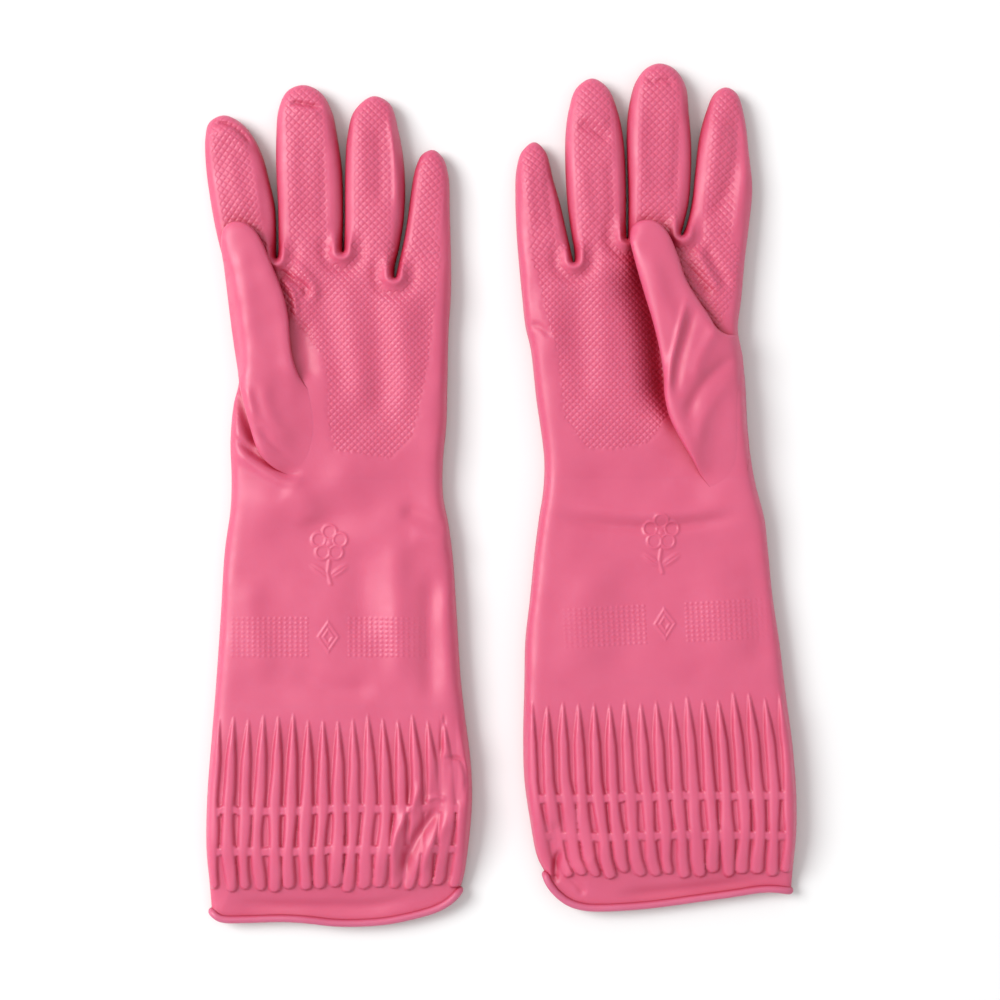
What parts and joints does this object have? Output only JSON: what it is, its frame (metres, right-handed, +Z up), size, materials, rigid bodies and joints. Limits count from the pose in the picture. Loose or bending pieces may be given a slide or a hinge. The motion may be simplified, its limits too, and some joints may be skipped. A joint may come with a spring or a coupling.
{
  "type": "household rubber gloves",
  "caption": "Pair of long household gloves in soft latex, palms up, thumbs folded over, with embossed diamond grip, ribbed cuffs and rolled beads.",
  "frame": {"origin": "middle of the pair's footprint, on the table they lie on", "axes": "+Z up off the table, +Y from the cuffs to the fingertips, +X from the left glove to the right glove"},
  "size_m": [0.2658, 0.3884, 0.0263],
  "materials": {
    "pink_latex": "satin",
    "grip_latex": "satin, embossed with small diamonds",
    "bead_latex": "satin"
  },
  "bodies": {
    "left_sleeve": {"left_sleeve": "pink_latex", "left_ribbed_cuff": "pink_latex", "left_cuff_bead": "bead_latex"},
    "left_hand": {"left_palm": "grip_latex"},
    "left_index_finger": {"left_index_finger": "grip_latex"},
    "left_middle_finger": {"left_middle_finger": "grip_latex"},
    "left_ring_finger": {"left_ring_finger": "grip_latex"},
    "left_little_finger": {"left_little_finger": "grip_latex"},
    "left_thumb": {"left_thumb": "pink_latex"},
    "right_sleeve": {"right_sleeve": "pink_latex", "right_ribbed_cuff": "pink_latex", "right_cuff_bead": "bead_latex"},
    "right_hand": {"right_palm": "grip_latex"},
    "right_little_finger": {"right_little_finger": "grip_latex"},
    "right_ring_finger": {"right_ring_finger": "grip_latex"},
    "right_middle_finger": {"right_middle_finger": "grip_latex"},
    "right_index_finger": {"right_index_finger": "grip_latex"},
    "right_thumb": {"right_thumb": "pink_latex"}
  },
  "joints": [
    {"name": "left_wrist_bend", "type": "hinge", "parent": "left_sleeve", "child": "left_hand", "pos_m": [-0.0731, -0.01485, 0.014], "axis": [1, 0, 0], "range_deg": [0, 75]},
    {"name": "left_index_bend", "type": "hinge", "parent": "left_hand", "child": "left_index_finger", "pos_m": [-0.1137, 0.1266, 0.012], "axis": [0.9764, 0.216, 0], "range_deg": [0, 90]},
    {"name": "left_middle_bend", "type": "hinge", "parent": "left_hand", "child": "left_middle_finger", "pos_m": [-0.0859, 0.1222, 0.012], "axis": [0.9993, 0.037, 0], "range_deg": [0, 90]},
    {"name": "left_ring_bend", "type": "hinge", "parent": "left_hand", "child": "left_ring_finger", "pos_m": [-0.0568, 0.1195, 0.012], "axis": [1, 0.0083, 0], "range_deg": [0, 90]},
    {"name": "left_little_bend", "type": "hinge", "parent": "left_hand", "child": "left_little_finger", "pos_m": [-0.034, 0.1159, 0.012], "axis": [0.9959, -0.091, 0], "range_deg": [0, 90]},
    {"name": "left_thumb_unfold", "type": "hinge", "parent": "left_hand", "child": "left_thumb", "pos_m": [-0.1199, 0.0358, 0.01415], "axis": [0.3746, -0.9272, 0], "range_deg": [0, 120]},
    {"name": "right_wrist_bend", "type": "hinge", "parent": "right_sleeve", "child": "right_hand", "pos_m": [0.06725, -0.01485, 0.014], "axis": [1, 0, 0], "range_deg": [0, 75]},
    {"name": "right_little_bend", "type": "hinge", "parent": "right_hand", "child": "right_little_finger", "pos_m": [0.0188, 0.1177, 0.012], "axis": [0.993, 0.1181, 0], "range_deg": [0, 90]},
    {"name": "right_ring_bend", "type": "hinge", "parent": "right_hand", "child": "right_ring_finger", "pos_m": [0.043, 0.1222, 0.012], "axis": [0.9994, 0.0352, 0], "range_deg": [0, 90]},
    {"name": "right_middle_bend", "type": "hinge", "parent": "right_hand", "child": "right_middle_finger", "pos_m": [0.0707, 0.1266, 0.012], "axis": [0.9999, -0.0133, 0], "range_deg": [0, 90]},
    {"name": "right_index_bend", "type": "hinge", "parent": "right_hand", "child": "right_index_finger", "pos_m": [0.0985, 0.124, 0.012], "axis": [0.9986, -0.052, 0], "range_deg": [0, 90]},
    {"name": "right_thumb_unfold", "type": "hinge", "parent": "right_hand", "child": "right_thumb", "pos_m": [0.1078, 0.0425, 0.01415], "axis": [0.1736, 0.9848, 0], "range_deg": [0, 120]},
    {"name": "right_glove_lift", "type": "slide", "parent": "left_sleeve", "child": "right_sleeve", "axis": [0, 0, 1], "range_m": [0, 0.15]}
  ]
}
